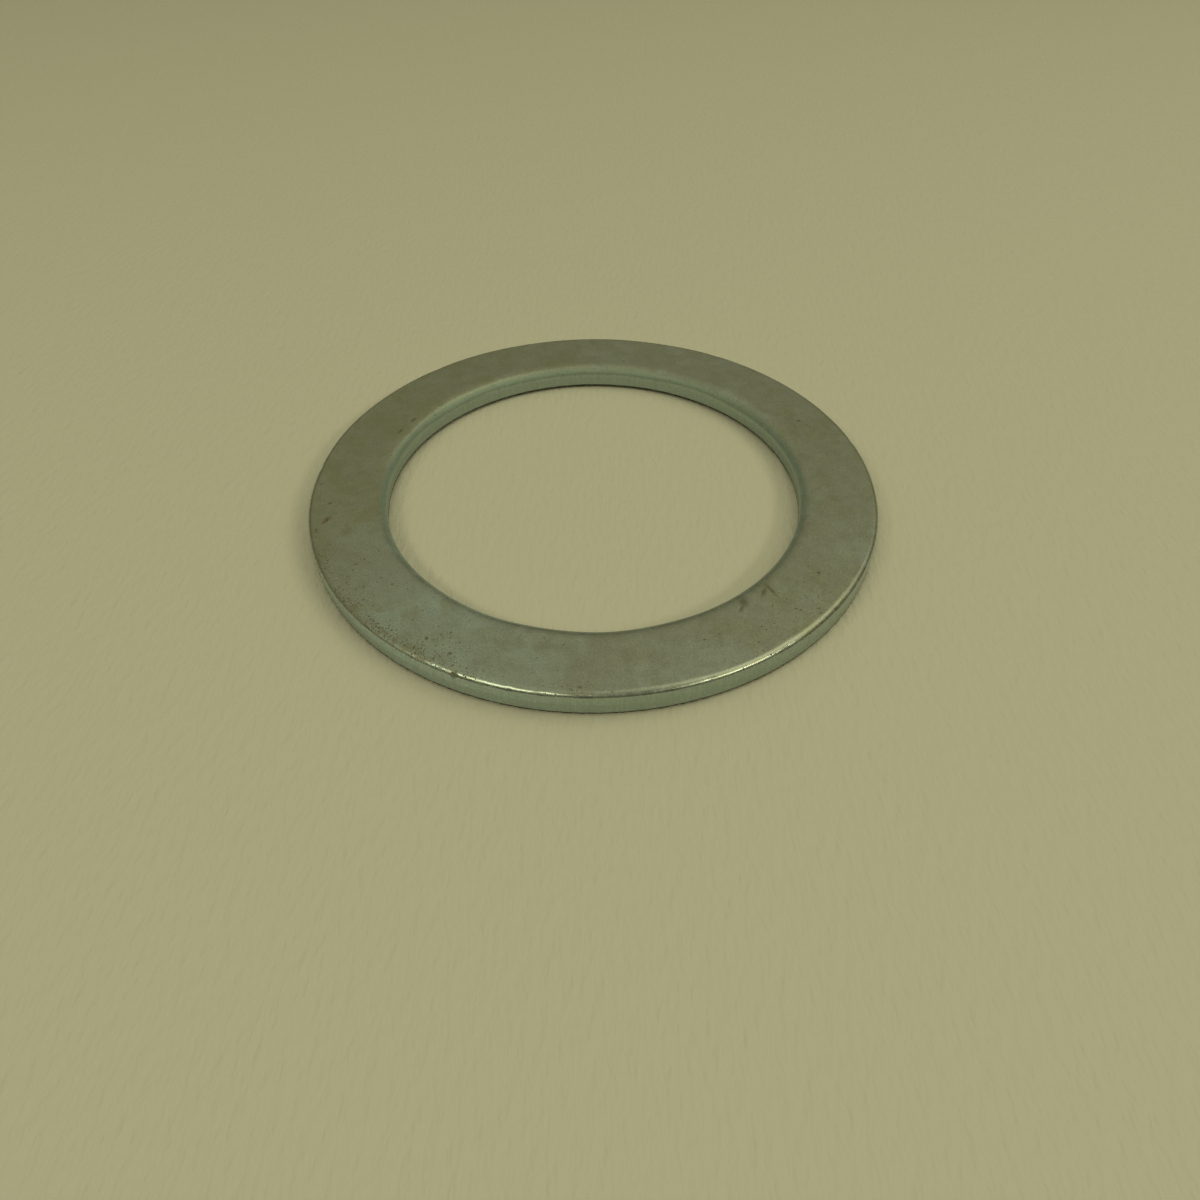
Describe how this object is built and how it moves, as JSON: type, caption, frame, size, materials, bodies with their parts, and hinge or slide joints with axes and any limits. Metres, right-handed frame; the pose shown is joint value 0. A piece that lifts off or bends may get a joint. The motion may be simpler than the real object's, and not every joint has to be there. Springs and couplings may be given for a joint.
{
  "type": "flat washer",
  "caption": "Thin flat washer with a wide bore, stamped from sheet steel and zinc plated, for spreading load or taking up a gap round a large shaft or fitting.",
  "frame": {"origin": "centre of the bore on the underside, the plane that the washer lies on", "axes": "+Z along the bore axis, out of the upper face, which has the rolled edges; X and Y lie in the underside, and the ring is the same all round"},
  "size_m": [0.0508, 0.0508, 0.0021],
  "materials": {
    "zinc_plate": "satin bright zinc plate, faintly mottled, with a few dark pits"
  },
  "bodies": {
    "root": {"flat_washer": "zinc_plate"}
  },
  "joints": []
}
